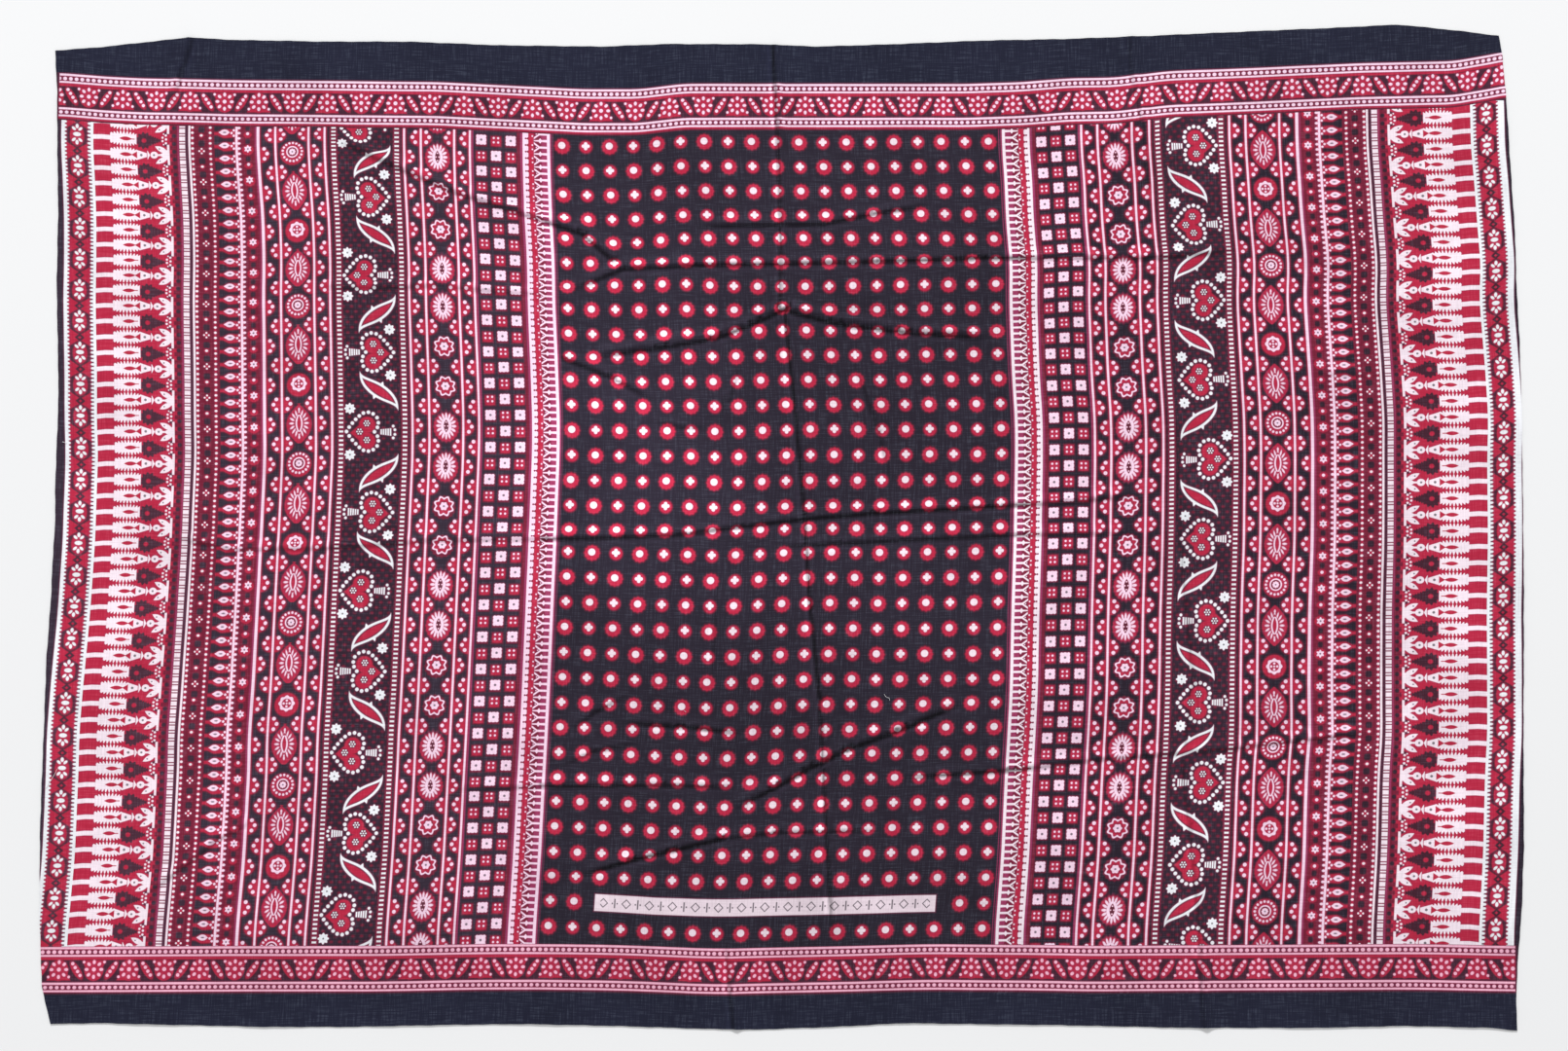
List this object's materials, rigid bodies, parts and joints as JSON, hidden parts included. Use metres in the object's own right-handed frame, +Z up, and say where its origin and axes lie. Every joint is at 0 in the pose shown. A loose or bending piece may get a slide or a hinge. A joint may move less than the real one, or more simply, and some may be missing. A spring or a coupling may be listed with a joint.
{
  "type": "kanga wrap cloth",
  "caption": "Oblong wrap cloth of thin printed cotton laid flat, with a border print all round, striped side bands, a dotted centre and low fold creases.",
  "frame": {"origin": "on the resting surface, under the middle of the cloth's outline box", "axes": "+X along the length from one cut end to the other, +Y towards the top border, +Z up out of the printed face"},
  "size_m": [1.596, 1.088, 0.007],
  "materials": {
    "printed_cotton": "matt plain-weave cotton, printed navy, crimson and white",
    "cotton_thread": "loose undyed cotton thread"
  },
  "bodies": {
    "root": {"kanga_cloth": "printed_cotton"}
  },
  "joints": []
}
